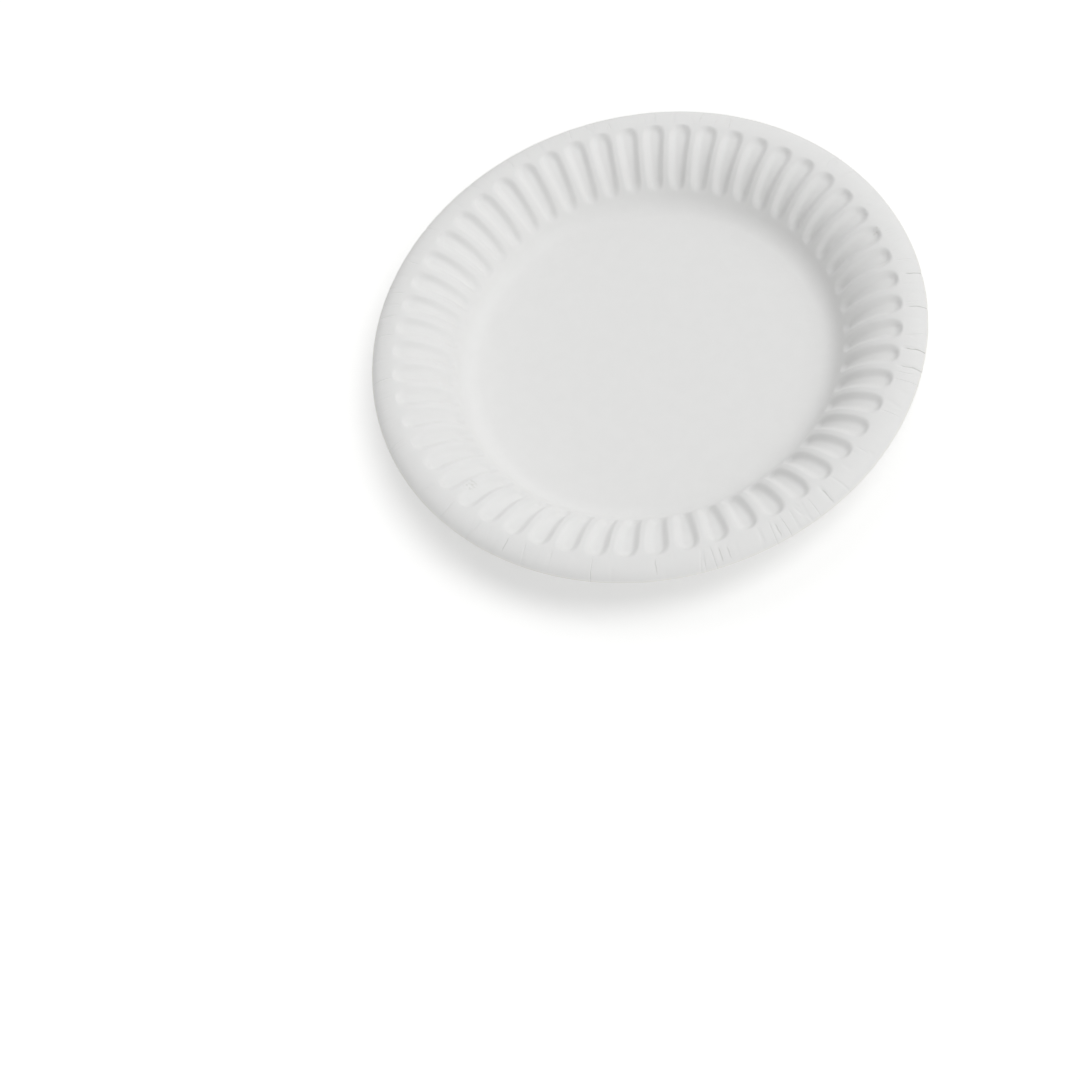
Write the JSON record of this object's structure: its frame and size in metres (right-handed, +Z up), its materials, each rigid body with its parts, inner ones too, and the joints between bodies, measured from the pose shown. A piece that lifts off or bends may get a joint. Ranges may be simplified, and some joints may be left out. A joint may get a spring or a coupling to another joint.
{
  "type": "paper plate",
  "caption": "Round disposable plate pressed from one disc of white paperboard: flat floor, sloping wall with round-ended radial flutes, and a smooth brim rolled down at its cut edge.",
  "frame": {"origin": "middle of the flat underside, on the plate's axis", "axes": "+Z up along the plate's axis, out of its hollow side; +X through the middle of a flute"},
  "size_m": [0.23, 0.23, 0.0219],
  "materials": {
    "paperboard": "matte uncoated white"
  },
  "bodies": {
    "root": {"plate": "paperboard"}
  },
  "joints": []
}
